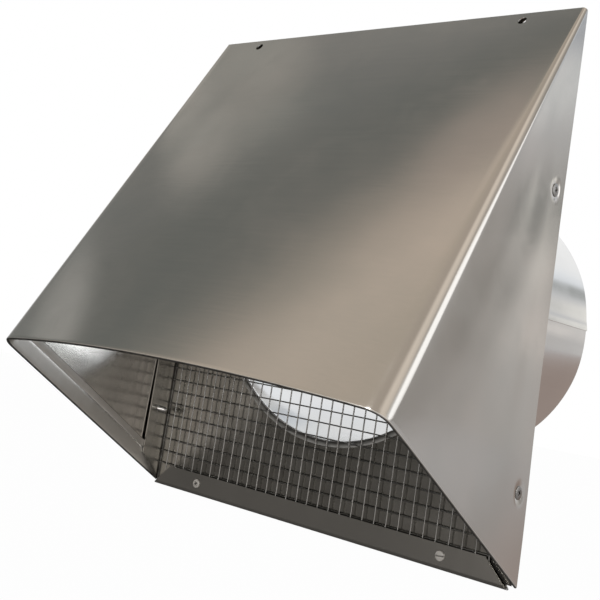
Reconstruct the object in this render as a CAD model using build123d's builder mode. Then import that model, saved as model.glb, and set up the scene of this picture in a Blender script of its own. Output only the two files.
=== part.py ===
from build123d import *
import os
from math import atan2, cos, degrees, radians, sin, sqrt, tan

# Wall vent hood, in millimetres. The origin is on the duct's axis in the wall plane,
# +Z is up and the mouth faces -Y, so the duct runs back along +Y.

# Hood shell: a sloping front and two cheeks folded from one sheet, hemmed round the mouth
hood_width = 212.0
hood_height = 246.0
duct_above_bottom = 113.3
sheet = 0.6
mouth_angle = 28.7
cheek_edge = 132.5
front_bow = 9.5
top_bow = 0.05
mouth_fold_radius = 8.5
top_fold_radius = 1.8
hem_width = 12.5
hem_gap = 0.3

# Duct collar: a rolled tube with a rim turned out on the front of the plate
collar_radius = 73.0
collar_length = 121.0
collar_wall = 0.6
rim_width = 2.6
collar_hole_gap = 1.1

# Back plate: a tray with a flange inside each cheek and a lip folded up at its lower edge
plate_side_gap = 0.3
plate_top_gap = 0.5
tray_drop = 1.0
flange_depth = 14.5
bend_radius = 0.9
lip_height = 10.5
lip_end_gap = 1.2

# Wire screen: upright wires in front of cross wires, drawn with six sides
wire_diameter = 0.7
wire_side_count = 6
wire_pitch = 6.35
screen_shift = -1.5
screen_foot = 8.3
first_cross_wire = 10.95
screen_side_gap = 0.8
screen_top_gap = 10.0
screen_gap = 0.15
weld_gap = 0.02

# Screws, and the holes for them and for the screws into the wall
screw_hole_gap = 0.3
shank_side_count = 6
head_taper = 35.0
side_screw_radius = 1.45
side_head_radius = 2.8
side_head_height = 0.7
side_screw_length = 7.5
side_screw_depth = 8.0
side_screw_low = 38.0
side_screw_high = 163.0
lip_screw_radius = 1.1
lip_head_radius = 2.1
lip_head_height = 0.8
lip_screw_spread = 144.0
lip_screw_height = 5.5
wall_hole_radius = 2.0
wall_hole_spread = 156.0
wall_hole_drop = 4.6

# Places that follow from those sizes
half_width = hood_width / 2
bottom = -duct_above_bottom
top = bottom + hood_height
corner_depth = cheek_edge * cos(radians(mouth_angle))
corner_rise = cheek_edge * sin(radians(mouth_angle))
top_depth = 2 * sheet + plate_top_gap
slope_angle = atan2(hood_height - corner_rise, corner_depth - top_depth)
top_edge = top_depth / sin(slope_angle)
hem_stack = 2 * sheet + hem_gap
plate_half = half_width - hem_stack - plate_side_gap
tray_bottom = bottom - tray_drop
rim_front = sheet + collar_wall
cross_wire_depth = rim_front + screen_gap + wire_diameter / 2
upright_wire_depth = cross_wire_depth + wire_diameter + weld_gap
lip_inside = upright_wire_depth + wire_diameter / 2 + screen_gap
lip_outside = lip_inside + sheet
lip_half = plate_half - lip_end_gap

# The mouth's plane rises from the wall to the front, and the plane of the top edge is square
# to the slope. In both, local X is across the hood and local Y is the distance from the wall.
mouth_plane = Plane(
    origin=(0, 0, bottom),
    x_dir=(1, 0, 0),
    z_dir=(0, -sin(radians(mouth_angle)), -cos(radians(mouth_angle))),
)
top_plane = Plane(
    origin=(0, 0, top - top_edge * cos(slope_angle)),
    x_dir=(1, 0, 0),
    z_dir=(0, -cos(slope_angle), -sin(slope_angle)),
)


def bow_radius(bow):
    """Radius of an arc across the hood that rises by bow at its middle."""
    return (half_width**2 + bow**2) / (2 * bow)


def fold_line(edge, bow, fold):
    """Distance from the wall at which a cheek ends and its fold of radius fold begins."""
    radius = bow_radius(bow)
    return edge + bow - radius + sqrt((radius - fold) ** 2 - (half_width - fold) ** 2)


def front_strip(plane, edge, bow, fold, outer, inner):
    """Section of the bowed front and its two folds, from one inset of the sheet to another."""
    radius = bow_radius(bow)
    bow_centre = Vector(0, edge + bow - radius)
    fold_centre = Vector(half_width - fold, fold_line(edge, bow, fold))
    lean = (fold_centre - bow_centre).normalized()
    turn = degrees(atan2(lean.Y, lean.X))
    with BuildSketch(plane) as strip:
        with BuildLine():
            for inset in (outer, inner):
                CenterArc(fold_centre, fold - inset, 0, turn)
            Line(fold_centre + Vector(fold - outer, 0), fold_centre + Vector(fold - inner, 0))
            mirror(about=Plane.YZ)
            for inset in (outer, inner):
                shoulder = fold_centre + lean * (fold - inset)
                crown = bow_centre + Vector(0, radius - inset)
                ThreePointArc(shoulder, crown, (-shoulder.X, shoulder.Y))
        make_face()
    return strip.sketch


def hood_wall(outer, inner):
    """Folded sheet from one inset to another: bowed front, tapering folds and flat cheeks."""
    mouth = (cheek_edge, front_bow, mouth_fold_radius)
    rim = (top_edge, top_bow, top_fold_radius)
    cheek = [
        mouth_plane.from_local_coords((0, 0)),
        mouth_plane.from_local_coords((0, fold_line(*mouth))),
        top_plane.from_local_coords((0, fold_line(*rim))),
        top_plane.from_local_coords((0, 0)),
    ]
    with BuildPart() as wall:
        loft(
            [
                front_strip(mouth_plane, *mouth, outer, inner),
                front_strip(top_plane, *rim, outer, inner),
            ],
            ruled=True,
        )
        for side in (-1, 1):
            with BuildSketch(Plane.YZ.offset(side * (half_width - inner))):
                with BuildLine():
                    Polyline(*[(point.Y, point.Z) for point in cheek], close=True)
                make_face()
            extrude(amount=side * (inner - outer))
    return wall.part


def mouth_band(outer, inner, width):
    """Part of such a sheet that lies within width of the mouth's edge."""
    with BuildPart() as band:
        add(hood_wall(outer, inner))
        with BuildSketch(mouth_plane):
            Rectangle(2 * hood_width, 4 * cheek_edge)
        extrude(amount=-width, mode=Mode.INTERSECT)
    return band.part


def bevel_screw(radius, head_radius, head_height, length):
    """Screw along Z with its bevelled head standing on Z = 0 and its shank below."""
    with BuildPart() as screw:
        with BuildSketch():
            Circle(head_radius)
        extrude(amount=head_height, taper=head_taper)
        with BuildSketch():
            RegularPolygon(radius, shank_side_count)
        extrude(amount=-length)
    return screw.part


# Hood shell
hem_layer = mouth_band(sheet + hem_gap, hem_stack, hem_width)
hem_fold = mouth_band(0, hem_stack, sheet)

with BuildPart() as hood_shell:
    add(hood_wall(0, sheet))
    add(hem_layer)
    add(hem_fold)
    with BuildSketch(Plane.XZ):
        with Locations((0, top - wall_hole_drop)):
            with GridLocations(wall_hole_spread, 0, 2, 1):
                Circle(wall_hole_radius)
    extrude(amount=flange_depth, mode=Mode.SUBTRACT)
    with BuildSketch(Plane.YZ):
        with Locations(
            (-side_screw_depth, bottom + side_screw_low),
            (-side_screw_depth, bottom + side_screw_high),
        ):
            Circle(side_screw_radius + screw_hole_gap)
    extrude(amount=hood_width, both=True, mode=Mode.SUBTRACT)
hood_shell.part.label = "hood_shell"


# Back plate
def plate_limit(depth):
    """Height at which the tray, depth out from the wall, meets the underside of the slope."""
    return top - (depth + plate_top_gap - top_depth + sheet) * tan(slope_angle)


lip_fold_radius = lip_inside / 2
tray_foot = tray_bottom + lip_fold_radius
lip_top = tray_bottom + lip_height

with BuildPart() as lip:
    with BuildSketch(Plane.YZ):
        with BuildLine():
            Line((-sheet / 2, lip_top), (-sheet / 2, tray_foot))
            ThreePointArc(
                (-sheet / 2, tray_foot),
                (-sheet / 2 - lip_fold_radius, tray_bottom),
                (-sheet / 2 - lip_inside, tray_foot),
            )
            Line((-sheet / 2 - lip_inside, tray_foot), (-sheet / 2 - lip_inside, lip_top))
        trace(line_width=sheet)
    extrude(amount=lip_half, both=True)
    with BuildSketch(Plane.XZ):
        with BuildLine():
            Polyline(
                (lip_half - lip_height, lip_top),
                (lip_half, lip_top),
                (lip_half, tray_bottom),
                close=True,
            )
        make_face()
        mirror(about=Plane.YZ)
    extrude(amount=2 * lip_outside, mode=Mode.SUBTRACT)

with BuildPart() as back_plate:
    flange_line = plate_half - sheet / 2
    with BuildSketch(Plane.XY.offset(tray_foot)):
        with BuildLine():
            FilletPolyline(
                (-flange_line, -flange_depth),
                (-flange_line, -sheet / 2),
                (flange_line, -sheet / 2),
                (flange_line, -flange_depth),
                radius=bend_radius,
            )
        trace(line_width=sheet)
    extrude(amount=top - tray_foot)
    with BuildSketch(Plane.YZ):
        with BuildLine():
            Polyline(
                (0, tray_foot),
                (-sheet, tray_foot),
                (-flange_depth, tray_foot + flange_depth - sheet),
                (-flange_depth, plate_limit(flange_depth)),
                (-sheet, plate_limit(sheet)),
                (0, plate_limit(sheet)),
                close=True,
            )
        make_face()
    extrude(amount=half_width, both=True, mode=Mode.INTERSECT)
    add(lip.part)
    with BuildSketch(Plane.XZ):
        Circle(collar_radius + collar_hole_gap)
        with Locations((0, top - wall_hole_drop)):
            with GridLocations(wall_hole_spread, 0, 2, 1):
                Circle(wall_hole_radius)
        with Locations((0, tray_bottom + lip_screw_height)):
            with GridLocations(lip_screw_spread, 0, 2, 1):
                Circle(lip_screw_radius + screw_hole_gap)
    extrude(amount=2 * lip_outside, mode=Mode.SUBTRACT)
    with BuildSketch(Plane.YZ):
        with Locations(
            (-side_screw_depth, bottom + side_screw_low),
            (-side_screw_depth, bottom + side_screw_high),
        ):
            Circle(side_screw_radius + screw_hole_gap)
    extrude(amount=half_width, both=True, mode=Mode.SUBTRACT)
back_plate.part.label = "back_plate"

# Duct collar
with BuildPart() as duct_collar:
    with BuildSketch(Plane.XY):
        with BuildLine():
            Polyline(
                (collar_radius - collar_wall, -rim_front),
                (collar_radius + rim_width, -rim_front),
                (collar_radius + rim_width, -sheet),
                (collar_radius, -sheet),
                (collar_radius, collar_length),
                (collar_radius - collar_wall, collar_length),
                close=True,
            )
        make_face()
    revolve(axis=Axis.Y)
duct_collar.part.label = "duct_collar"

# Wire screen
screen_half = plate_half - sheet - screen_side_gap
screen_low = tray_bottom + screen_foot
screen_high = top - screen_top_gap
upright_left = int((screen_half + screen_shift) / wire_pitch)
upright_right = int((screen_half - screen_shift) / wire_pitch)
upright_count = upright_left + 1 + upright_right
upright_middle = screen_shift + (upright_right - upright_left) * wire_pitch / 2
cross_low = tray_bottom + first_cross_wire
cross_count = int((screen_high - cross_low) / wire_pitch) + 1
cross_middle = cross_low + (cross_count - 1) * wire_pitch / 2

with BuildPart() as wire_screen:
    with BuildSketch(Plane.XY.offset(screen_low)):
        with Locations((upright_middle, -upright_wire_depth)):
            with GridLocations(wire_pitch, 0, upright_count, 1):
                RegularPolygon(wire_diameter / 2, wire_side_count)
    extrude(amount=screen_high - screen_low)
    with BuildSketch(Plane.YZ):
        with Locations((-cross_wire_depth, cross_middle)):
            with GridLocations(0, wire_pitch, 1, cross_count):
                RegularPolygon(wire_diameter / 2, wire_side_count)
    extrude(amount=screen_half, both=True)
wire_screen.part.label = "wire_screen"

# Side screws, two through each cheek into the tray's flanges
side_screw = bevel_screw(side_screw_radius, side_head_radius, side_head_height, side_screw_length)

with BuildPart() as side_screws:
    with Locations(
        *[
            Plane(origin=(side * half_width, -side_screw_depth, bottom + height), z_dir=(side, 0, 0))
            for side in (-1, 1)
            for height in (side_screw_low, side_screw_high)
        ]
    ):
        add(side_screw)
side_screws.part.label = "side_screws"

# Lip screws, through the lip into the plate, with their ends flush in the wall plane
lip_screw = bevel_screw(lip_screw_radius, lip_head_radius, lip_head_height, lip_outside)
lip_screw_plane = Plane(
    origin=(0, -lip_outside, tray_bottom + lip_screw_height),
    x_dir=(1, 0, 0),
    z_dir=(0, -1, 0),
)

with BuildPart() as lip_screws:
    with Locations(lip_screw_plane):
        with GridLocations(lip_screw_spread, 0, 2, 1):
            add(lip_screw)
lip_screws.part.label = "lip_screws"

os.makedirs("parts", exist_ok=True)
for piece in (hood_shell, back_plate, duct_collar, wire_screen, side_screws, lip_screws):
    export_step(piece.part, f"parts/{piece.part.label}.step")
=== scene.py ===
from math import atan2, cos, pi, radians, sin, sqrt

import bmesh
import bpy
import numpy as np
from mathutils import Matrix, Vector


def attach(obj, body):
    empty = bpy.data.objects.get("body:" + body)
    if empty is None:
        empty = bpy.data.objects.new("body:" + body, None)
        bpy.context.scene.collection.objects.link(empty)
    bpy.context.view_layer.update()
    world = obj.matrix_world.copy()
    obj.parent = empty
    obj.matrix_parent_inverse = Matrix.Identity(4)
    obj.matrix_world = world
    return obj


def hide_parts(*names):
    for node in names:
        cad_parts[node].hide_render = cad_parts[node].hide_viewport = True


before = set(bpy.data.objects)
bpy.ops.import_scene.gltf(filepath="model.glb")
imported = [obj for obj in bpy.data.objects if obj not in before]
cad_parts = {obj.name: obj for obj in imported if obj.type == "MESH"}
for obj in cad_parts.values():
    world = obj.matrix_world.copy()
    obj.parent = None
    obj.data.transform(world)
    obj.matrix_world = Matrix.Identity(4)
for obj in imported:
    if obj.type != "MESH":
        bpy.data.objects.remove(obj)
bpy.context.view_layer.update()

# Sizes in millimetres, in the part's own frame: the duct's axis is the Y axis and Y = 0 is the wall
MM = 0.001
sheet = 0.6

# Hood shell
half_width = 106.0
bottom = -113.3
top = 132.7
mouth_angle = radians(28.7)
cheek_edge = 132.5
front_bow = 9.5
top_bow = 0.05
mouth_fold_radius = 8.5
top_fold_radius = 1.8
top_fold_least = 0.1
top_depth = 1.7
slope_rise = top - bottom - cheek_edge * sin(mouth_angle)
slope_run = cheek_edge * cos(mouth_angle) - top_depth
slope_angle = atan2(slope_rise, slope_run)
top_edge = top_depth / sin(slope_angle)
wall_hole_places = [(-78.0, 128.1), (78.0, 128.1)]
wall_hole_radius = 2.0
wall_hole_reach = (-12.0, 1.0)

# Hem along the mouth: its strip past the groove opens over a span of distances from the wall
hem_width = 12.5
hem_gap = 0.3
hem_stack = 2 * sheet + hem_gap
hem_outer = hem_stack / 2
hem_inner = hem_gap / 2
hem_break = 0.1
hem_opening = 0.12
hem_opening_depth = (22.0, 45.0)
hem_strip = 8.0
hem_groove = 8.6
hem_groove_depth = 0.2
hem_groove_width = 0.35

# Unevenness of the sheet: spans across are distances from the middle, spans up are shares of the height
cheek_across = (96.0, 104.0)
draw_depth = 0.7
draw_reach = 30.0
draw_up = ((0.06, 0.3), (0.6, 0.98))
wave_depth = 0.09
wave_length = 13.0
wave_slant = 1.3
wave_start = 1.8
wave_from_wall = (13.0, 28.0)
wave_up = ((0.12, 0.35), (0.7, 0.95))
wave_to_fold = (0.45, 0.85)
cheek_taper = 0.54
ease_across = (90.0, 98.0)
ease_width = 22.0
ease_depth = 0.35
dimple_depth = 0.5
dimple_radius = 3.5
buckle_across = (70.0, 97.0)
buckle_up = ((0.04, 0.3), (0.7, 0.95))
buckle_depth = 0.07
buckle_waves = [(31.0, 3.1, 0.4), (-47.0, 7.3, 1.7)]

# Duct collar, with the seam's angles in radians
collar_radius = 73.0
collar_wall = 0.6
collar_length = 121.0
collar_break = 0.15
rim_width = 2.6
rim_break = 0.2
rim_root = 0.3
rim_front = 1.2
seam_angle = radians(1.6)
seam_steps = np.array([-0.004, -0.0005, 0.0005, 0.003, 0.01, 0.05])
lap_depth = 0.6
lap_sag = ((0.0, 0.085), (0.085, 0.42))
lap_tuck = (0.02, 0.4)

# Back plate and wire screen
plate_half = 104.2
tray_bottom = bottom - 1.0
wire_radius = 0.35
wire_pitch = 6.35
upright_depth = 2.42
upright_shift = -1.5
upright_wires = np.arange(-15, 17)
cross_depth = 1.7
cross_foot = 10.95
cross_wires = np.arange(36)
screen_low = tray_bottom + 8.3
screen_high = top - 10.0
screen_half = plate_half - sheet - 0.8
sway_step = 0.035
sway_limit = 0.3

# Screws, first the shank's radius and the head's radius and height
side_screw = (1.45, 2.8, 0.7)
side_screw_length = 7.5
side_screw_depth = 8.0
side_screw_heights = (bottom + 38.0, bottom + 163.0)
lip_screw = (1.1, 2.1, 0.8)
lip_outside = 3.52
lip_screw_across = 72.0
lip_screw_height = tray_bottom + 5.5
crown_break = 0.18
crown_fall = 0.35
head_break = 0.04
head_shoulders = (0.56, 0.4)
thread_depth = 0.14
thread_pitch = 0.9
point_start = 0.72
point_taper = 0.97
point_curve = 1.5
recess_depth = 0.6
bar_half_width = 0.34
bar_half_length = 1.35
bar_side = 0.12
bar_end = 0.35
slot_depth = 0.55
slot_half_width = 0.3
slot_side = 0.1
weld_distance = 0.002

# Points along the shapes, and the angles in degrees past which their edges stay sharp
shell_rows = 170
ring_points = 48
collar_columns = 180
wire_sides = 10
crown_rings = 30
shank_rings = 60
sheet_crease = 35.0
wire_crease = 60.0


def grid_faces(rows, cols, close_rows=False, close_cols=False):
    """Quads of a grid of rows by cols points, with the last row or column joined to the first on demand."""
    r = np.arange(rows if close_rows else rows - 1)[:, None]
    c = np.arange(cols if close_cols else cols - 1)[None, :]
    r2 = (r + 1) % rows
    c2 = (c + 1) % cols
    corners = np.broadcast_arrays(r * cols + c, r * cols + c2, r2 * cols + c2, r2 * cols + c)
    return np.stack(corners, -1).reshape(-1, 4)


def new_mesh(name, points, faces):
    """A mesh from points in millimetres and faces."""
    mesh = bpy.data.meshes.new(name)
    mesh.from_pydata((np.asarray(points).reshape(-1, 3) * MM).tolist(), [], [list(f) for f in faces])
    return mesh


def turn_outwards(mesh, merge=0.0):
    """Joins the mesh's points that lie within merge millimetres and turns its normals outwards."""
    shape = bmesh.new()
    shape.from_mesh(mesh)
    if merge:
        bmesh.ops.remove_doubles(shape, verts=shape.verts, dist=merge * MM)
    bmesh.ops.recalc_face_normals(shape, faces=shape.faces)
    shape.to_mesh(mesh)
    shape.free()


def add_object(name, data):
    """An object in the scene for a mesh, a lamp or a camera."""
    made = bpy.data.objects.new(name, data)
    bpy.context.scene.collection.objects.link(made)
    return made


def add_piece(name, points, faces, material, slot, *nodes, merge=0.0, sharp=sheet_crease, marks=None):
    """A mesh piece on the body root, from points in millimetres and faces, with its normals outwards.

    Marks are numbers by point that the mesh keeps under a name, for its material to read.
    """
    mesh = new_mesh(name, points, faces)
    for label, values in (marks or {}).items():
        kept = mesh.attributes.new(label, "FLOAT", "POINT")
        kept.data.foreach_set("value", np.asarray(values, np.float32).ravel())
    turn_outwards(mesh, merge)
    mesh.shade_smooth()
    mesh.set_sharp_from_angle(angle=radians(sharp))
    mesh.materials.append(material)
    piece = add_object(name, mesh)
    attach(piece, "root")
    if nodes:
        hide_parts(*nodes)
    return piece


def smooth_step(x, low, high):
    """Rises from 0 at low to 1 at high along 3t^2 - 2t^3."""
    t = np.clip((x - low) / (high - low), 0, 1)
    return t * t * (3 - 2 * t)


def hump(x, rise, fall):
    """Rises from 0 to 1 over the span rise and back to 0 over the span fall, each along smooth_step."""
    return smooth_step(x, *rise) * (1 - smooth_step(x, *fall))


# Shader nodes
def new_group(name, inputs, outputs):
    """An empty shader group with inputs (name, kind, value) and outputs (name, kind), and its sockets."""
    group = bpy.data.node_groups.new(name, "ShaderNodeTree")
    for label, kind, value in inputs:
        socket = group.interface.new_socket(name=label, in_out="INPUT", socket_type=kind)
        if value is not None:
            socket.default_value = value
    for label, kind in outputs:
        group.interface.new_socket(name=label, in_out="OUTPUT", socket_type=kind)
    source = group.nodes.new("NodeGroupInput")
    sink = group.nodes.new("NodeGroupOutput")
    return group, source.outputs, sink.inputs


def node(tree, kind, links=None, **settings):
    """A node with its settings, and its inputs by name or number set to a value or linked from a socket."""
    made = tree.nodes.new(kind)
    for key, value in settings.items():
        setattr(made, key, value)
    for key, value in (links or {}).items():
        socket = made.inputs[key]
        if isinstance(value, bpy.types.NodeSocket):
            tree.links.new(value, socket)
        else:
            socket.default_value = value
    return made


def maths(tree, operation, *values):
    """Result of a product, a larger of two or the like over values or sockets."""
    return node(tree, "ShaderNodeMath", dict(enumerate(values)), operation=operation).outputs[0]


def ranged(tree, value, low, high, least=0.0, most=1.0, kind="LINEAR"):
    """A value carried from the range low to high to the range least to most, and held within it."""
    links = {"Value": value, "From Min": low, "From Max": high, "To Min": least, "To Max": most}
    return node(tree, "ShaderNodeMapRange", links, interpolation_type=kind).outputs[0]


def blended(tree, share, under, over):
    """Colour over laid on colour under by a share."""
    return node(tree, "ShaderNodeMix", {0: share, 6: under, 7: over}, data_type="RGBA").outputs[2]


def between(tree, share, first, second):
    """Number that passes from first to second by a share."""
    return node(tree, "ShaderNodeMix", {0: share, 2: first, 3: second}).outputs[0]


def leaning(tree, vector, direction):
    """How far a vector goes along a direction: their dot product."""
    links = {0: vector, 1: direction}
    return node(tree, "ShaderNodeVectorMath", links, operation="DOT_PRODUCT").outputs["Value"]


def noise(tree, vector, scale, detail, **more):
    """Value of a noise texture at a vector, with more of its inputs by name."""
    links = {"Vector": vector, "Scale": scale, "Detail": detail, **more}
    return node(tree, "ShaderNodeTexNoise", links).outputs["Fac"]


def object_place(tree):
    """Place on the surface in the object's own coordinates."""
    return node(tree, "ShaderNodeTexCoord").outputs["Object"]


# Materials
def rolled_sheet_group():
    """Finish of rolled sheet: fine lines along one axis, soft clouds and smears.

    Lines are noise squeezed along Stretch, clouds are wide noise, and smears are noise raised to a
    narrow band. Tone mixes Dark and Light by clouds and lines, Roughness adds smears and lines to Base.
    """
    tree, source, sink = new_group(
        "rolled_sheet",
        [
            ("Vector", "NodeSocketVector", None),
            ("Stretch", "NodeSocketVector", (900.0, 900.0, 14.0)),
            ("Dark", "NodeSocketColor", (0.5, 0.49, 0.47, 1)),
            ("Light", "NodeSocketColor", (0.62, 0.61, 0.59, 1)),
            ("Base", "NodeSocketFloat", 0.3),
            ("Spread", "NodeSocketFloat", 0.12),
        ],
        [("Tone", "NodeSocketColor"), ("Roughness", "NodeSocketFloat"), ("Height", "NodeSocketFloat")],
    )
    squeezed = {0: source["Vector"], 1: source["Stretch"]}
    stretched = node(tree, "ShaderNodeVectorMath", squeezed, operation="MULTIPLY").outputs[0]
    lines = noise(tree, stretched, 1.0, 4.0, Roughness=0.65)
    clouds = noise(tree, source["Vector"], 16.0, 3.0)
    smears = noise(tree, source["Vector"], 42.0, 5.0, Roughness=0.6, Distortion=0.8)
    smear_band = ranged(tree, smears, 0.45, 0.75)
    cloud_tone = maths(tree, "MULTIPLY", clouds, 0.75)
    tone_sum = maths(tree, "MULTIPLY_ADD", lines, 0.2, cloud_tone)
    tone_share = ranged(tree, tone_sum, 0.22, 0.72)
    unevenness = maths(tree, "ADD", lines, smear_band)
    roughness = maths(tree, "MULTIPLY_ADD", unevenness, source["Spread"], source["Base"])
    tree.links.new(blended(tree, tone_share, source["Dark"], source["Light"]), sink["Tone"])
    tree.links.new(roughness, sink["Roughness"])
    tree.links.new(lines, sink["Height"])
    return tree


def wear_and_painted_light_group():
    """A patch for real wear and for painted shade and highlights: by Mask, Tone and Roughness give way to
    the patch's own.

    Blotches of noise thin the mask, down to the share Least of it.
    """
    tree, source, sink = new_group(
        "wear_and_painted_light_patch",
        [
            ("Vector", "NodeSocketVector", None),
            ("Mask", "NodeSocketFloat", 0.0),
            ("Tone", "NodeSocketColor", (0.5, 0.5, 0.5, 1)),
            ("Roughness", "NodeSocketFloat", 0.2),
            ("Patch Tone", "NodeSocketColor", (0.3, 0.3, 0.3, 1)),
            ("Patch Roughness", "NodeSocketFloat", 0.4),
            ("Grain", "NodeSocketFloat", 100.0),
            ("Least", "NodeSocketFloat", 0.5),
        ],
        [("Tone", "NodeSocketColor"), ("Roughness", "NodeSocketFloat")],
    )
    blotches = noise(tree, source["Vector"], source["Grain"], 4.0, Distortion=0.4)
    cover = ranged(tree, blotches, 0.33, 0.67, source["Least"])
    share = maths(tree, "MULTIPLY", source["Mask"], cover)
    tree.links.new(blended(tree, share, source["Tone"], source["Patch Tone"]), sink["Tone"])
    tree.links.new(between(tree, share, source["Roughness"], source["Patch Roughness"]), sink["Roughness"])
    return tree


rolled_sheet = rolled_sheet_group()
wear_and_painted_light_patch = wear_and_painted_light_group()
relief_distance = 0.0002


def sheet_metal(name, dark, light, base, spread, stretch, bump, metallic=1.0):
    """Bare metal whose tone, roughness and fine relief come from the rolled sheet group."""
    material = bpy.data.materials.new(name)
    material.use_nodes = True
    tree = material.node_tree
    shader = tree.nodes["Principled BSDF"].inputs
    shader["Metallic"].default_value = metallic
    settings = {
        "Vector": object_place(tree),
        "Stretch": stretch,
        "Dark": (*dark, 1),
        "Light": (*light, 1),
        "Base": base,
        "Spread": spread,
    }
    finish = node(tree, "ShaderNodeGroup", settings, node_tree=rolled_sheet).outputs
    raised = {"Strength": bump, "Distance": relief_distance, "Height": finish["Height"]}
    relief = node(tree, "ShaderNodeBump", raised).outputs[0]
    tree.links.new(finish["Tone"], shader["Base Color"])
    tree.links.new(finish["Roughness"], shader["Roughness"])
    tree.links.new(relief, shader["Normal"])
    return material


# Dark and light tone, least roughness and its spread, squeeze of the rolling lines, strength of the relief
hood_sheet = sheet_metal(
    "hood_sheet", (0.50, 0.505, 0.485), (0.635, 0.60, 0.57), 0.10, 0.05, (20.0, 1400.0, 1400.0), 0.03
)
plate_sheet = sheet_metal(
    "plate_sheet", (0.44, 0.43, 0.405), (0.54, 0.53, 0.50), 0.20, 0.05, (900.0, 900.0, 14.0), 0.06
)
collar_sheet = sheet_metal(
    "collar_sheet", (0.70, 0.70, 0.70), (0.80, 0.80, 0.79), 0.09, 0.05, (900.0, 14.0, 900.0), 0.05
)
screen_wire = sheet_metal(
    "screen_wire", (0.28, 0.28, 0.275), (0.42, 0.42, 0.41), 0.20, 0.12, (400.0, 400.0, 400.0), 0.1
)
lip_screw_zinc = sheet_metal(
    "lip_screw_zinc", (0.88, 0.85, 0.81), (0.95, 0.93, 0.90), 0.30, 0.12, (600.0, 600.0, 600.0), 0.1, 0.0
)
# Side screws: the dark tone paints the shade in the dimple round each head
screw_steel = sheet_metal(
    "screw_steel", (0.22, 0.215, 0.21), (0.34, 0.335, 0.325), 0.20, 0.10, (600.0, 600.0, 600.0), 0.1
)


def by_mark(material, name):
    """Mask kept on the mesh under a name."""
    return node(material.node_tree, "ShaderNodeAttribute", attribute_name=name).outputs["Fac"]


def by_depth(material, start, full):
    """Mask that rises from nothing at depth start to full at depth full, along Y in millimetres."""
    tree = material.node_tree
    depth = node(tree, "ShaderNodeSeparateXYZ", {0: object_place(tree)}).outputs["Y"]
    return ranged(tree, depth, start * MM, full * MM)


def by_width(material, start, full):
    """Mask that rises from nothing at start to full, both ways along X from the middle, in millimetres."""
    tree = material.node_tree
    across = node(tree, "ShaderNodeSeparateXYZ", {0: object_place(tree)}).outputs["X"]
    return ranged(tree, maths(tree, "ABSOLUTE", across), start * MM, full * MM)


def both_masks(material, first, second):
    """Mask where two masks meet: their product."""
    return maths(material.node_tree, "MULTIPLY", first, second)


def wear_and_painted_light(material, mask, tone, roughness, grain, least):
    """Puts a patch, for real wear and for painted shade and highlights, between a material's finish and its
    shader.
    """
    tree = material.node_tree
    shader = tree.nodes["Principled BSDF"].inputs
    settings = {
        "Vector": object_place(tree),
        "Mask": mask,
        "Patch Tone": (*tone, 1),
        "Patch Roughness": roughness,
        "Grain": grain,
        "Least": least,
    }
    patch = node(tree, "ShaderNodeGroup", settings, node_tree=wear_and_painted_light_patch)
    for label, target in (("Tone", "Base Color"), ("Roughness", "Roughness")):
        tree.links.new(shader[target].links[0].from_socket, patch.inputs[label])
        tree.links.new(patch.outputs[label], shader[target])


# Mask, patch tone, patch roughness, grain of the blotches, least cover. The hem's patch is real wear; the
# others are painted shade and painted highlights
wear_and_painted_light(hood_sheet, by_mark(hood_sheet, "hem_wear"), (0.70, 0.69, 0.67), 0.40, 200.0, 0.75)
# Painted shade: dark lines at the hem's raw edge and groove, and round the mouth's rolled edge
wear_and_painted_light(hood_sheet, by_mark(hood_sheet, "painted_edge_shade"), (0.12, 0.115, 0.11), 0.35, 300.0, 0.75)
# Painted shade of the screen and the hood: the plate behind the lip is darker, in blotches
wear_and_painted_light(plate_sheet, by_depth(plate_sheet, -3.0, -1.2), (0.33, 0.32, 0.295), 0.26, 55.0, 0.4)
# Painted shade: a dark line along each bend between a flange and the screen's face
painted_corner_shade = both_masks(plate_sheet, by_width(plate_sheet, 102.2, 103.3), by_depth(plate_sheet, -2.6, -1.6))
wear_and_painted_light(plate_sheet, painted_corner_shade, (0.05, 0.048, 0.045), 0.5, 200.0, 0.7)
# Painted dark reflection on the rim's front face and the front of its roll
wear_and_painted_light(collar_sheet, by_depth(collar_sheet, -0.85, -1.15), (0.17, 0.168, 0.16), 0.35, 200.0, 0.7)
# Painted highlight: the rim's outer edge and part of its roll lighter
wear_and_painted_light(collar_sheet, by_mark(collar_sheet, "rim_edge"), (0.86, 0.86, 0.85), 0.55, 200.0, 0.8)
# Painted shade in the side screws' cross recesses
wear_and_painted_light(screw_steel, by_mark(screw_steel, "recess"), (0.07, 0.068, 0.065), 0.5, 500.0, 0.8)
# Painted highlight: the side screws' shanks and points are near white
wear_and_painted_light(screw_steel, by_mark(screw_steel, "shank"), (0.90, 0.89, 0.87), 0.35, 500.0, 0.8)
# Painted shade in the lip screws' cross and slot recesses
wear_and_painted_light(lip_screw_zinc, by_mark(lip_screw_zinc, "recess"), (0.07, 0.068, 0.065), 0.5, 500.0, 0.8)


# Hood shell: shares of the way along each cheek, closer together by the wall, each fold and the front
cheek_share = np.concatenate([np.linspace(0, 0.3, 31), np.linspace(0.3, 1, 16)[1:]])
fold_share = np.linspace(0, 1, 13)[1:]
front_share = np.linspace(0, 1, 73)[1:]

# Heights of the hem's points, and turns of the bend between its layers and of its rolled edge
hem_heights = np.array([
    hem_width - hem_break, 12.0, 9.4, 8.9, hem_groove, 8.3, hem_strip, 7.0, 5.0, 3.0, hem_outer,
])
bend_turn = np.linspace(0, pi, 7)[1:]
edge_turn = np.linspace(pi, 2 * pi, 13)[1:-1]


def bow_radius(bow):
    """Radius of an arc across the hood that rises by bow at its middle."""
    return (half_width**2 + bow**2) / (2 * bow)


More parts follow.
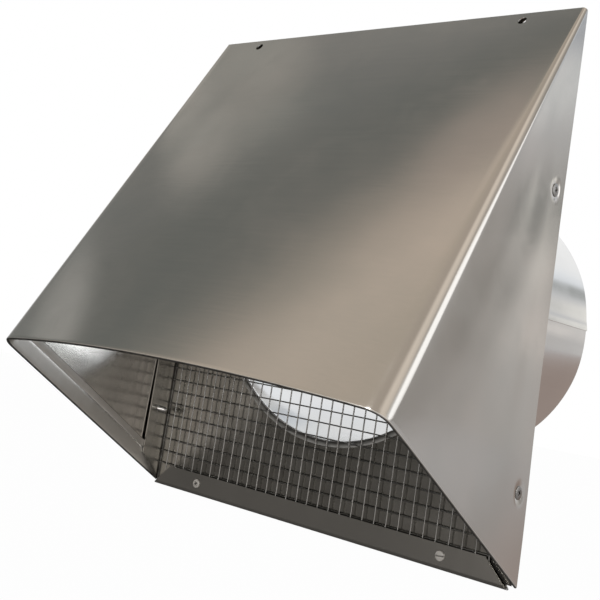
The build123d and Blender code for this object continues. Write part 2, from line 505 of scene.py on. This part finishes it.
def hood_section(edge, bow, fold, inset):
    """Half-open section of the sheet at an inset, as local (x, distance from the wall), from right to left.

    Along the right cheek x is constant, the fold is an arc of radius fold - inset about its centre,
    the front is an arc of radius bow_radius - inset, and the left side mirrors the right.
    """
    inset = np.asarray(inset, float)[:, None]
    radius = bow_radius(bow)
    centre_s = edge + bow - radius
    fold_x = half_width - fold
    fold_s = centre_s + sqrt((radius - fold) ** 2 - fold_x**2)
    turn = atan2(fold_s - centre_s, fold_x)
    lean = pi / 2 - turn
    cheek_x = (half_width - inset) * np.ones_like(cheek_share)
    cheek_s = np.ones_like(inset) * cheek_share * fold_s
    fold_turn = fold_share * turn
    corner_x = fold_x + (fold - inset) * np.cos(fold_turn)
    corner_s = fold_s + (fold - inset) * np.sin(fold_turn)
    front_turn = lean * (1 - 2 * front_share)
    front_x = (radius - inset) * np.sin(front_turn)
    front_s = centre_s + (radius - inset) * np.cos(front_turn)
    front = np.stack([front_x, front_s], -1)
    right = np.stack([np.hstack([cheek_x, corner_x]), np.hstack([cheek_s, corner_s])], -1)
    left = right[:, ::-1] * np.array([-1, 1])
    return np.concatenate([right, front[:, :-1], left], 1)


def hood_profile():
    """Closed loop of the sheet's edge section: insets, heights over the mouth's edge, shares up and lifts.

    Up the outer face, over the top, down the inner face, round the tight bend between the two layers,
    up and down the hem's layer with a fine groove along it, and round the rolled edge back to the outer
    face. Lift is how far the hem's strip stands open, in proportion to its height over the strip's foot.
    """
    up = np.linspace(0, 1, shell_rows)
    groove = hem_groove_depth * np.exp(-(((hem_heights - hem_groove) / hem_groove_width) ** 2))
    inset = np.concatenate([
        np.zeros(shell_rows),
        np.full(shell_rows, sheet),
        sheet + hem_inner - hem_inner * np.cos(bend_turn),
        [sheet + hem_gap, sheet + hem_gap + hem_break, hem_stack - hem_break],
        hem_stack - groove,
        hem_outer + hem_outer * np.cos(edge_turn - pi),
    ])
    height = np.concatenate([
        np.full(2 * shell_rows, hem_outer),
        hem_outer - hem_inner * np.sin(bend_turn),
        [hem_width - hem_break, hem_width, hem_width],
        hem_heights,
        hem_outer + hem_outer * np.sin(edge_turn),
    ])
    share = np.concatenate([up, up[::-1], np.zeros(len(inset) - 2 * shell_rows)])
    layer = np.arange(len(inset)) >= 2 * shell_rows
    lift = hem_opening * np.clip((height - hem_strip) / (hem_width - hem_strip), 0, 1) * layer
    return inset, height, share, lift


def hood_marks():
    """Shares of wear and of painted shade round the profile.

    The hem bears wear all over. Painted shade lies at its raw edge, in its groove and round its rolled edge.
    """
    unworn = 2 * shell_rows + len(bend_turn)
    raw_edge = np.full(3, 0.9)
    on_hem = 0.7 * (hem_heights == hem_heights[0]) + 0.8 * (hem_heights == hem_groove)
    rolled_edge = smooth_step(2 * pi - edge_turn, radians(20), radians(45))
    painted_shade = np.concatenate([np.zeros(unworn), raw_edge, on_hem, rolled_edge])
    wear = (np.arange(len(painted_shade)) >= unworn).astype(float)
    return {"hem_wear": wear, "painted_edge_shade": painted_shade}


def eased(points, from_fold, way):
    """Pushes each cheek inwards along X towards its fold, as the square of how near the fold is.

    Way is the share of the way up, and the push fades to nothing at the top.
    """
    x = points[..., 0]
    side = np.sign(x) * smooth_step(np.abs(x), *ease_across)
    near = np.clip(1 - from_fold / ease_width, 0, 1)
    moved = points.copy()
    moved[..., 0] = x - side * ease_depth * (1 - way) * near**2
    return moved


def pulled_in(points):
    """Pushes the sheet inwards along X: cheeks drawn to the flanges, and a dimple round each side screw.

    The draw falls off as a bell curve of the distance from the wall, and a dimple as a steeper one, by the
    sixth power of the distance from its screw. Slow sine waves run slantwise over the right cheek and die
    out towards its edges.
    """
    x, y, z = points[..., 0], points[..., 1], points[..., 2]
    side = np.sign(x) * smooth_step(np.abs(x), *cheek_across)
    up = (z - bottom) / (top - bottom)
    draw = draw_depth * np.exp(-((y / draw_reach) ** 2)) * hump(up, *draw_up)
    waves = 1 + np.sin((z - wave_slant * y) / wave_length + wave_start)
    reach = np.clip(-y / np.maximum(cheek_taper * (top - z), 1.0), 0, 1)
    on_right = (x > 0) * smooth_step(-y, *wave_from_wall) * (1 - smooth_step(reach, *wave_to_fold))
    draw = draw + wave_depth * waves * on_right * hump(up, *wave_up)
    for height in side_screw_heights:
        away = np.hypot(y + side_screw_depth, z - height)
        draw = draw + dimple_depth * np.exp(-((away / dimple_radius) ** 6))
    moved = points.copy()
    moved[..., 0] = x - side * draw
    return moved


def buckled(points, way):
    """Pushes the front inwards along Y by two slow sine waves over it, which die out at its edges.

    Each wave has a length across, a turn over the way up and a start.
    """
    x = points[..., 0]
    waves = 2 + sum(np.sin(x / length + climb * way + start) for length, climb, start in buckle_waves)
    held = (1 - smooth_step(np.abs(x), *buckle_across)) * hump(way, *buckle_up)
    moved = points.copy()
    moved[..., 1] += buckle_depth * waves * held
    return moved


def hood_shell_points():
    """Grid of the shell: the closed edge profile carried along the section, each point on its ruling.

    A ruling runs straight from the section at the mouth to the section at the top; a profile point lies
    at share of the way up it, after its own height from the mouth's edge.
    """
    inset, height, share, lift = hood_profile()
    low = hood_section(cheek_edge, front_bow, mouth_fold_radius, inset)
    opened = hood_section(cheek_edge, front_bow, mouth_fold_radius, inset + lift)
    low = low + (opened - low) * smooth_step(low[:1, :, 1:], *hem_opening_depth)
    top_inset = np.minimum(inset, top_fold_radius - top_fold_least)
    high = hood_section(top_edge, top_bow, top_fold_radius, top_inset)
    low_x, low_s = low[..., 0], low[..., 1]
    high_x, high_s = high[..., 0], high[..., 1]
    rise = top - top_edge * cos(slope_angle)
    mouth = np.stack([low_x, -low_s * cos(mouth_angle), bottom + low_s * sin(mouth_angle)], -1)
    crown = np.stack([high_x, -high_s * sin(slope_angle), rise + high_s * cos(slope_angle)], -1)
    start = height[:, None] / np.linalg.norm(crown - mouth, axis=-1)
    way = start * (1 - share[:, None]) + share[:, None]
    points = mouth + (crown - mouth) * way[..., None]
    fold_column = len(cheek_share) - 1
    depth = low_s * (1 - way) + high_s * way
    from_fold = np.clip(depth[:, fold_column:fold_column + 1] - depth, 0, None)
    return pulled_in(eased(buckled(points, way), from_fold, way))


def drilled(piece, cutters):
    """Takes the cutters out of the piece's mesh and out of the scene."""
    for cutter in cutters:
        cut = piece.modifiers.new("hole", "BOOLEAN")
        cut.operation = "DIFFERENCE"
        cut.solver = "EXACT"
        cut.object = cutter
    view = bpy.context.evaluated_depsgraph_get()
    mesh = bpy.data.meshes.new_from_object(piece.evaluated_get(view))
    piece.modifiers.clear()
    piece.data = mesh
    mesh.shade_smooth()
    mesh.set_sharp_from_angle(angle=radians(sheet_crease))
    for cutter in cutters:
        bpy.data.objects.remove(cutter)


def hole_cutter(x, z):
    """A round rod along Y as a closed mesh: two rings of points joined by quads, with flat ends."""
    a = np.linspace(0, 2 * pi, ring_points, endpoint=False)
    ring_x = x + wall_hole_radius * np.cos(a)
    ring_z = z + wall_hole_radius * np.sin(a)
    rings = [np.stack([ring_x, np.full(ring_points, y), ring_z], -1) for y in wall_hole_reach]
    ends = [list(range(ring_points)), list(range(2 * ring_points - 1, ring_points - 1, -1))]
    mesh = new_mesh("cutter", rings, grid_faces(2, ring_points, close_cols=True).tolist() + ends)
    turn_outwards(mesh)
    return add_object("cutter", mesh)


shell = hood_shell_points()
loop_rows, loop_cols = shell.shape[:2]
right_end = np.arange(loop_rows) * loop_cols
left_end = right_end + loop_cols - 1
shell_faces = grid_faces(loop_rows, loop_cols, close_rows=True).tolist()
shell_faces += [right_end.tolist(), left_end.tolist()[::-1]]
shell_marks = {name: np.repeat(values, loop_cols) for name, values in hood_marks().items()}
hood = add_piece(
    "hood_sheet_folded", shell, shell_faces, hood_sheet, "hood_sheet", "hood_shell", marks=shell_marks
)
drilled(hood, [hole_cutter(x, z) for x, z in wall_hole_places])


# Duct collar
def collar_points():
    """Closed profile of wall and rim carried round the Y axis, with a lap step along the wall.

    Just under the seam's angle the wall's radius is smaller by the lap's depth, and above the seam it
    falls by as much within a tenth of a radian; both ways it returns smoothly. The rim stays round.
    """
    bend = np.linspace(0, pi / 2, 9)
    inner = collar_radius - collar_wall
    rim_edge = rim_width - rim_break
    wall_y = np.array([collar_length, collar_length - collar_break, 90, 60, 30, 12, 4, 1.0, 0.0, -0.3])
    wall_r = np.r_[collar_radius - collar_break, np.full(9, collar_radius)]
    rim_y = np.array([-sheet, -sheet, -sheet - collar_break, collar_break - rim_front, -rim_front])
    rim_r = collar_radius + np.array([rim_root, rim_edge, rim_width, rim_width, rim_edge])
    roll_y = -rim_front * np.cos(bend)
    roll_r = inner + rim_front - rim_front * np.sin(bend)
    back_y = np.array([30, 60, 90, collar_length - collar_break, collar_length])
    back_r = np.r_[np.full(4, inner), inner + collar_break]
    y = np.concatenate([wall_y, rim_y, roll_y, back_y])
    r = np.concatenate([wall_r, rim_r, roll_r, back_r])
    on_wall = np.r_[np.ones(7), 0.5, np.zeros(len(r) - 13), np.ones(5)]
    even = np.linspace(0, 2 * pi, collar_columns + 1)[:-1]
    a = np.sort(np.r_[even, seam_angle + seam_steps])
    after = np.mod(a - seam_angle, 2 * pi)
    below = 2 * pi - after
    sag = hump(after, *lap_sag)
    tuck = (1 - smooth_step(below, *lap_tuck)) * (after > pi)
    step = -lap_depth * np.maximum(sag, tuck)
    radius = r[:, None] + on_wall[:, None] * step[None, :]
    return np.stack([radius * np.cos(a), np.broadcast_to(y[:, None], radius.shape), radius * np.sin(a)], -1)


# Share of painted highlight by row of the profile: the rim's outer edge and a part of the roll
painted_highlight_rows = np.r_[np.zeros(11), 0.5, np.ones(3), np.zeros(3), np.ones(4), np.zeros(7)]
collar = collar_points()
collar_marks = {"rim_edge": np.repeat(painted_highlight_rows, collar.shape[1])}
collar_faces = grid_faces(*collar.shape[:2], close_rows=True, close_cols=True)
add_piece(
    "collar_rolled", collar, collar_faces, collar_sheet, "collar_sheet", "duct_collar", marks=collar_marks
)


# Wire screen
def rods(starts, ends, across, sway):
    """Round rods between starts and ends: rings of points about each centre line, which sways off by sway.

    The ring's two directions are given in across; sway is an array of offsets by rod and step.
    """
    steps = sway.shape[1]
    t = np.linspace(0, 1, steps)[None, :, None]
    line = starts[:, None] * (1 - t) + ends[:, None] * t + sway
    a = np.linspace(0, 2 * pi, wire_sides, endpoint=False)
    ring = wire_radius * (np.cos(a)[:, None] * across[0] + np.sin(a)[:, None] * across[1])
    points = line[:, :, None] + ring[None, None]
    one = grid_faces(steps, wire_sides, close_cols=True)
    shift = (np.arange(len(starts)) * steps * wire_sides)[:, None, None]
    faces = (one[None] + shift).reshape(-1, 4).tolist()
    head = (np.arange(wire_sides)[None] + shift[:, 0]).tolist()
    tail = (np.arange(wire_sides)[None, ::-1] + shift[:, 0] + (steps - 1) * wire_sides).tolist()
    return points.reshape(-1, 3), faces + head + tail


rng = np.random.default_rng(7)


def wire_sway(count, steps, axis):
    """Offsets of wires along one axis: sums of small random steps, held within the sway's limit."""
    walk = np.cumsum(rng.normal(0, sway_step, (count, steps)), 1)
    sway = np.zeros((count, steps, 3))
    sway[..., axis] = np.clip(walk, -sway_limit, sway_limit)
    return sway


x_axis, y_axis, z_axis = np.eye(3)
upright_count = len(upright_wires)
cross_count = len(cross_wires)
upright_sway = wire_sway(upright_count, cross_count + 1, 0)
cross_sway = wire_sway(cross_count, upright_count + 1, 2)
upright_x = upright_shift + wire_pitch * upright_wires
upright_start = upright_x[:, None] * x_axis - upright_depth * y_axis + screen_low * z_axis
upright_end = upright_start + (screen_high - screen_low) * z_axis
cross_z = tray_bottom + cross_foot + wire_pitch * cross_wires
cross_start = cross_z[:, None] * z_axis - cross_depth * y_axis - screen_half * x_axis
cross_end = cross_start + 2 * screen_half * x_axis
upright_points, upright_faces = rods(upright_start, upright_end, (x_axis, y_axis), upright_sway)
cross_points, cross_faces = rods(cross_start, cross_end, (y_axis, z_axis), cross_sway)
screen_points = np.concatenate([upright_points, cross_points])
screen_faces = upright_faces + [[i + len(upright_points) for i in face] for face in cross_faces]
add_piece(
    "screen_wires", screen_points, screen_faces, screen_wire, "screen_wire", "wire_screen", sharp=wire_crease
)


# Screws
def screw_points(radius, head_radius, head_height, length, recess):
    """A screw along its own Z as rings of points: domed head with a recess, seat, threaded shank and point.

    The head's top is a dome minus the recess depth at (x, y); the thread swells the shank's radius by a
    wave that climbs one pitch per turn; the last ring closes on the axis. With the points come marks of
    how much each of them belongs to the recess and to the shank.
    """
    a = np.linspace(0, 2 * pi, ring_points + 1)[:-1]
    ring = np.linspace(0, 1, crown_rings)
    crown_r = ring * (head_radius - crown_break)
    dome = head_height - crown_fall * head_height * ring**3
    x, y = crown_r[:, None] * np.cos(a), crown_r[:, None] * np.sin(a)
    cut = recess(x, y)
    crown = np.stack([x, y, dome[:, None] - cut], -1)
    side_r = np.array([head_radius - head_break, head_radius, head_radius, radius])
    side_z = np.array([head_shoulders[0] * head_height, head_shoulders[1] * head_height, 0.0, 0.0])
    down = np.linspace(0, 1, shank_rings)
    shank_z = -down * length
    taper = 1 - point_taper * smooth_step(down, point_start, 1.0) ** point_curve
    swell = thread_depth * np.cos(2 * pi * shank_z[:, None] / thread_pitch - a[None]) * taper[:, None]
    shank_r = (radius - thread_depth) * taper[:, None] + swell
    r = np.concatenate([np.broadcast_to(side_r[:, None], (len(side_r), ring_points)), shank_r])
    z = np.broadcast_to(np.concatenate([side_z, shank_z])[:, None], r.shape)
    body = np.stack([r * np.cos(a), r * np.sin(a), z], -1)
    on_shank = np.arange(len(r)) >= len(side_r) - 1
    marks = {
        "recess": np.concatenate([cut / recess_depth, np.zeros(r.shape)]),
        "shank": np.concatenate([np.zeros(x.shape), on_shank[:, None] * np.ones(r.shape)]),
    }
    return np.concatenate([crown, body]), marks


def recess_bar(across, along):
    """Share of the depth of one bar of the cross: full over its width and length, with steep sides."""
    width = smooth_step(bar_half_width - np.abs(across), 0, bar_side)
    return width * smooth_step(bar_half_length - np.abs(along), 0, bar_end)


def cross_recess(x, y):
    """Depth of a cross cut: the larger of two bars at right angles, which end short of the rim."""
    return recess_depth * np.maximum(recess_bar(x, y), recess_bar(y, x))


def slot_recess(x, y):
    """Depth of a straight slot along x right across the head."""
    return slot_depth * smooth_step(slot_half_width - np.abs(y), 0, slot_side)


def turned(points, spin):
    """Points spun about Z by an angle."""
    c, s = cos(spin), sin(spin)
    return points @ np.array([[c, s, 0], [-s, c, 0], [0, 0, 1]])


def add_screws(name, places, material, stands_for):
    """Screws joined in one piece, in place of a node.

    Each place holds a screw's points and marks, its spin about its own axis, the axes that carry it and
    its origin. One face closes each screw's last ring.
    """
    points, faces, marks = [], [], {"recess": [], "shank": []}
    for (shape, shares), spin, axes, origin in places:
        for label, values in shares.items():
            marks[label].append(values.ravel())
        quads = grid_faces(*shape.shape[:2], close_cols=True) + sum(len(p) for p in points)
        tip = np.arange(ring_points)[::-1] + quads.max() - (ring_points - 1)
        faces += quads.tolist() + [tip.tolist()]
        spun = turned(shape, spin).reshape(-1, 3)
        points.append(spun @ np.array(axes, float) + np.array(origin, float))
    points = np.concatenate(points)
    marks = {label: np.concatenate(values) for label, values in marks.items()}
    add_piece(name, points, faces, material, "screw_steel", stands_for, merge=weld_distance, marks=marks)


# Each screw stops at a turn of its own
side_places = []
for side in (-1, 1):
    for number, height in enumerate(side_screw_heights):
        screw = screw_points(*side_screw, side_screw_length, cross_recess)
        seat = pulled_in(np.array([side * half_width, -side_screw_depth, height]))
        spin = 0.4 + 1.1 * number + 0.5 * side
        side_places.append((screw, spin, [[0, side, 0], [0, 0, 1], [side, 0, 0]], seat))
add_screws("side_screws_threaded", side_places, screw_steel, "side_screws")

lip_places = []
for across, recess, spin in ((-lip_screw_across, cross_recess, 0.5), (lip_screw_across, slot_recess, 0.1)):
    screw = screw_points(*lip_screw, lip_outside, recess)
    seat = (across, -lip_outside, lip_screw_height)
    lip_places.append((screw, spin, [[1, 0, 0], [0, 0, 1], [0, -1, 0]], seat))
add_screws("lip_screws_threaded", lip_places, lip_screw_zinc, "lip_screws")

# Back plate keeps its solid
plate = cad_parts["back_plate"]
plate.data.materials.clear()
plate.data.materials.append(plate_sheet)

# Floor, in metres: white to the eye; the metal mirrors it pale at the right, behind and in a strip in front
floor_height = -0.36
floor_reach = 6.0
floor_paint = bpy.data.materials.new("floor_paint")
floor_paint.use_nodes = True
floor_tree = floor_paint.node_tree
floor_tree.nodes.clear()
floor_rays = node(floor_tree, "ShaderNodeLightPath").outputs
floor_place = object_place(floor_tree)
floor_depth = node(floor_tree, "ShaderNodeSeparateXYZ", {0: floor_place}).outputs["Y"]


def floor_part(value, low, high, most=1.0):
    """Share of a part of the floor: a smooth step of a value over it, up to most."""
    return ranged(floor_tree, value, low, high, 0.0, most, "SMOOTHSTEP")


def floor_lean(direction):
    """Distance over the floor along a direction."""
    return leaning(floor_tree, floor_place, direction)


far_side = floor_part(floor_lean((0.9, -0.1, 0)), 0.0, 0.5, 0.58)
near_side = floor_part(floor_lean((0.85, -0.52, 0)), 0.35, 0.8, 0.9)
side_pale = maths(floor_tree, "MAXIMUM", far_side, near_side)
strip_far = floor_part(floor_depth, -2.3, -1.7, 0.13)
strip_near = floor_part(floor_depth, -0.9, -1.2)
strip_pale = maths(floor_tree, "MULTIPLY", strip_far, strip_near)
front_pale = maths(floor_tree, "MAXIMUM", side_pale, strip_pale)
back_right = floor_part(floor_lean((1.0, -0.35, 0)), 0.0, 0.6)
back_pale = ranged(floor_tree, back_right, 0.0, 1.0, 0.30, 0.555)
behind = floor_part(floor_depth, 0.35, 0.75)
pale = between(floor_tree, behind, front_pale, back_pale)
floor_mirrored = maths(floor_tree, "MULTIPLY", floor_rays["Is Glossy Ray"], pale)
floor_seen = maths(floor_tree, "MAXIMUM", floor_rays["Is Camera Ray"], floor_mirrored)
floor_white = maths(floor_tree, "MAXIMUM", floor_seen, floor_rays["Is Transmission Ray"])
glow_share = maths(floor_tree, "MULTIPLY", floor_white, 0.985)
back_tint = blended(floor_tree, back_right, (1.0, 0.78, 0.68, 1), (1.0, 0.98, 0.98, 1))
mirror_tint = blended(floor_tree, behind, (1.0, 0.93, 0.88, 1), back_tint)
floor_tint = blended(floor_tree, floor_rays["Is Glossy Ray"], (1, 1, 1, 1), mirror_tint)
dull = node(floor_tree, "ShaderNodeBsdfDiffuse", {"Color": (0.12, 0.12, 0.12, 1)}).outputs[0]
glow = node(floor_tree, "ShaderNodeEmission", {"Color": floor_tint, "Strength": 1.0}).outputs[0]
floor_mix = node(floor_tree, "ShaderNodeMixShader", {0: glow_share, 1: dull, 2: glow}).outputs[0]
node(floor_tree, "ShaderNodeOutputMaterial", {"Surface": floor_mix})


def stage_plane(name, height, reach, material):
    """A flat square about the Z axis at a height, in metres."""
    corners = [(-reach, -reach), (reach, -reach), (reach, reach), (-reach, reach)]
    mesh = bpy.data.meshes.new(name)
    mesh.from_pydata([(x, y, height) for x, y in corners], [], [(0, 1, 2, 3)])
    mesh.materials.append(material)
    plane = add_object(name, mesh)


stage_plane("floor", floor_height, floor_reach, floor_paint)

# The room: dim at the left and low in front, warm towards the front, with a pale backdrop behind the hood
world = bpy.data.worlds.new("studio")
bpy.context.scene.world = world
world.use_nodes = True
room_tree = world.node_tree
room_tree.nodes.clear()
room_rays = node(room_tree, "ShaderNodeLightPath").outputs
room_way = node(room_tree, "ShaderNodeTexCoord").outputs["Generated"]
quarter_turn = {"Vector": room_way, "Rotation": (0, 0, radians(90))}
turned_way = {"Vector": node(room_tree, "ShaderNodeMapping", quarter_turn).outputs[0]}
room_azimuth = node(room_tree, "ShaderNodeTexGradient", turned_way, gradient_type="RADIAL").outputs["Fac"]


def room_part(direction, low, high):
    """Share of a part of the room: a smooth step of how far the view leans towards direction."""
    return ranged(room_tree, leaning(room_tree, room_way, direction), low, high, kind="SMOOTHSTEP")


def round_the_room(stops):
    """Colour by azimuth: a smooth ramp over stops of degrees and colours.

    Degrees count from the front, positive to the right.
    """
    ramp = node(room_tree, "ShaderNodeValToRGB", {"Fac": room_azimuth})
    ramp.color_ramp.interpolation = "EASE"
    elements = ramp.color_ramp.elements
    while len(elements) < len(stops):
        elements.new(0.5)
    for element, (degrees, colour) in zip(elements, stops):
        element.position = degrees / 360 + 0.5
        element.color = (*colour, 1)
    return ramp.outputs["Color"]


def facing(azimuth, elevation):
    """Direction in the room at an azimuth from the front, positive to the right, and an elevation."""
    a, e = radians(azimuth), radians(elevation)
    return sin(a) * cos(e), -cos(a) * cos(e), sin(e)


def room_patch(under, azimuth, elevation, inner, outer, colour):
    """Colour under with a round patch over it, full within inner degrees of its middle, gone past outer."""
    share = room_part(facing(azimuth, elevation), cos(radians(outer)), cos(radians(inner)))
    return blended(room_tree, share, under, (*colour, 1))


warm = (0.70, 0.61, 0.52)
dusk = (0.205, 0.212, 0.20)
haze = (0.90, 0.91, 0.93)
shade = (0.42, 0.40, 0.38)
upper = round_the_room([
    (-180, (0.95, 0.97, 1.0)),
    (-110, (0.60, 0.58, 0.53)),
    (-91, (0.28, 0.28, 0.27)),
    (-82, dusk),
    (-76, dusk),
    (-51, warm),
    (-33, (0.62, 0.545, 0.46)),
    (62, (0.57, 0.50, 0.43)),
    (84, (1.0, 0.90, 0.79)),
    (96, (0.92, 0.83, 0.73)),
    (108, (0.60, 0.55, 0.49)),
    (130, (0.40, 0.37, 0.34)),
    (152, (0.80, 0.84, 0.90)),
    (180, (0.93, 0.97, 1.0)),
])
lower = round_the_room([
    (-180, haze),
    (-115, haze),
    (-85, (0.30, 0.29, 0.28)),
    (-60, (0.06, 0.062, 0.056)),
    (30, (0.05, 0.052, 0.046)),
    (55, (0.95, 0.92, 0.88)),
    (96, (0.92, 0.85, 0.76)),
    (118, (0.95, 0.93, 0.90)),
    (139, shade),
    (149, shade),
    (154, (0.58, 0.555, 0.535)),
    (166, (0.72, 0.72, 0.72)),
    (180, haze),
])
room = blended(room_tree, room_part((0, 0, 1), 0.16, 0.40), lower, upper)

# Soft round patches of the room: azimuth and elevation of the middle, inner and outer degrees, colour
room_patches = [
    (-92.0, 42.6, 3.6, 5.6, (0.50, 0.485, 0.45)),
    (-93.5, 47.6, 3.0, 5.4, (0.47, 0.455, 0.42)),
    (-83.2, 28.0, 1.5, 5.0, (0.45, 0.45, 0.43)),
    (-68.5, 64.0, 1.5, 5.0, (0.47, 0.41, 0.365)),
    (160.6, 8.4, 3.0, 4.9, (1.0, 0.98, 0.93)),
    (161.9, 16.3, 1.2, 3.4, (0.38, 0.39, 0.38)),
    (156.0, 19.6, 1.2, 3.2, (0.46, 0.49, 0.54)),
    (154.5, 16.8, 1.2, 2.8, (1.0, 1.0, 1.0)),
    (156.0, 3.2, 0.6, 2.4, (0.84, 0.79, 0.75)),
    (155.2, 10.0, 1.0, 3.0, (0.29, 0.295, 0.285)),
    (152.6, 6.0, 0.8, 2.6, (0.34, 0.33, 0.31)),
    (150.7, 2.8, 0.6, 2.2, (0.33, 0.31, 0.29)),
]
for patch in room_patches:
    room = room_patch(room, *patch)

# Backdrop, white to the eye; the metal mirrors it in a low stretch at the right and a spot past the top
nothing = (0, 0, 0)
full = (1, 1, 1)
right_stretch = round_the_room([
    (-180, nothing), (103, nothing), (116, full), (138, full), (149, nothing), (180, nothing),
])
over_floor = room_part((0, 0, 1), -0.02, 0.14)
under_top = room_part((0, 0, -1), -0.46, -0.30)
low_stretch = maths(room_tree, "MULTIPLY", over_floor, under_top)
past_right = maths(room_tree, "MULTIPLY", right_stretch, low_stretch)
past_top = room_part((0, 0.906, 0.423), 0.955, 0.995)
backdrop = maths(room_tree, "MAXIMUM", past_right, past_top)
room_mirrored = maths(room_tree, "MULTIPLY", room_rays["Is Glossy Ray"], backdrop)
room_seen = maths(room_tree, "MAXIMUM", room_rays["Is Camera Ray"], room_rays["Is Transmission Ray"])
room_white = maths(room_tree, "MAXIMUM", room_seen, room_mirrored)
room_colour = blended(room_tree, room_white, room, (1, 1, 1, 1))
background = node(room_tree, "ShaderNodeBackground", {"Color": room_colour, "Strength": 1.0}).outputs[0]
node(room_tree, "ShaderNodeOutputWorld", {"Surface": background})

lamp_target = Vector((0, -0.05, 0))


def soft_light(name, direction, distance, size, power, colour):
    """A square lamp at a distance in metres along a direction from the hood, facing it."""
    lamp = bpy.data.lights.new(name, "AREA")
    lamp.shape = "SQUARE"
    lamp.size = size
    lamp.energy = power
    lamp.color = colour
    holder = add_object(name, lamp)
    aim = Vector(direction).normalized()
    holder.location = aim * distance + lamp_target
    holder.rotation_euler = aim.to_track_quat("Z", "Y").to_euler()


soft_light("light_right", (0.80, 0.53, 0.22), 1.5, 0.68, 1.0, (1.0, 1.0, 1.0))
soft_light("light_front", (0.15, -0.80, 0.57), 1.6, 0.5, 6.0, (1.0, 0.99, 0.97))
soft_light("light_duct", (0.036, 0.168, 0.018), 0.1727, 0.045, 0.022, (0.95, 0.97, 1.0))
soft_light("light_duct_left", (-0.018, 0.168, 0.015), 0.1697, 0.045, 0.004, (0.9, 0.95, 1.0))
soft_light("light_low", (0.16, -0.97, 0.07), 1.0, 0.2, 2.2, (1.0, 0.98, 0.95))

lens = bpy.data.cameras.new("camera")
lens.lens = 59.63
lens.sensor_width = 36.0
lens.shift_x = 0.0776
lens.shift_y = -0.1381
lens.clip_start = 0.01
camera = add_object("camera", lens)
camera.location = (0.28378, -0.39550, -0.03604)
camera.rotation_euler = (radians(97.588), radians(-9.284), radians(40.277))
bpy.context.scene.camera = camera

bpy.context.scene.view_settings.view_transform = "Standard"
